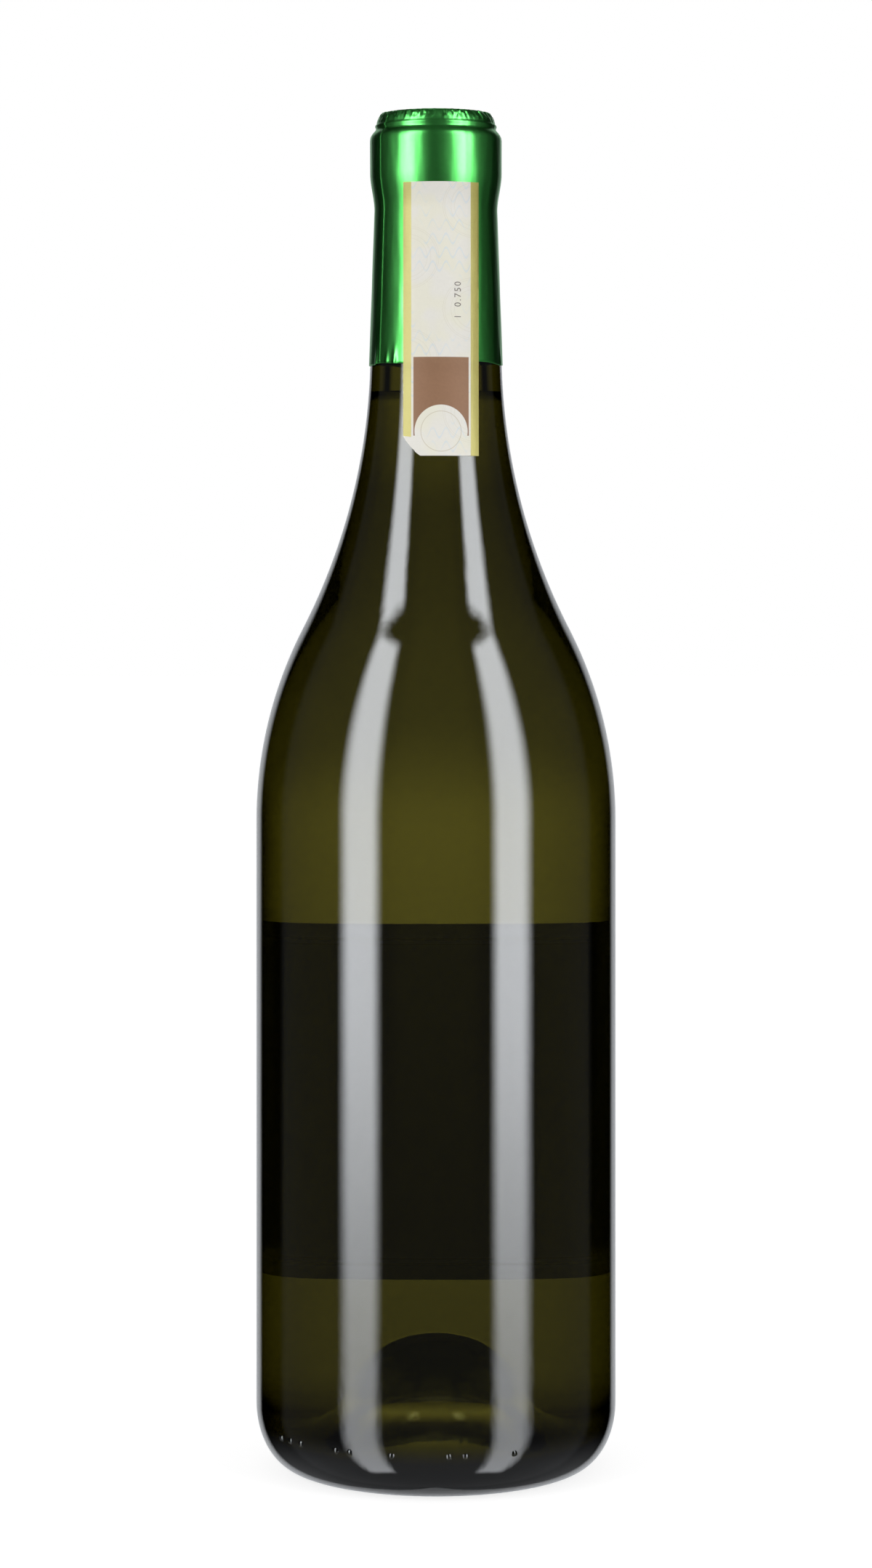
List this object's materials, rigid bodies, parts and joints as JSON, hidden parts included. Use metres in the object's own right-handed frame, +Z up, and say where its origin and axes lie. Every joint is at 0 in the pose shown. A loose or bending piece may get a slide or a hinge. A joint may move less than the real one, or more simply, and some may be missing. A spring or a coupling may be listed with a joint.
{
  "type": "wine bottle",
  "caption": "Shouldered glass wine bottle, filled with pale wine and dressed with a green foil capsule, a paper seal strip down the neck and a plain front label.",
  "frame": {"origin": "centre of the base, on the surface the bottle stands on", "axes": "+Z up along the bottle's axis, -Y towards the seal strip, +Y towards the front label"},
  "size_m": [0.0814, 0.0816, 0.3062],
  "materials": {
    "bottle_glass": "clear dark olive glass, polished",
    "wine": "clear pale straw wine",
    "foil": "green metallic foil, satin",
    "seal_paper": "off-white printed paper with gold edge bands",
    "label_paper": "plain cream label paper"
  },
  "bodies": {
    "root": {"bottle": "bottle_glass", "wine": "wine", "capsule": "foil", "seal_strip": "seal_paper", "front_label": "label_paper"}
  },
  "joints": []
}
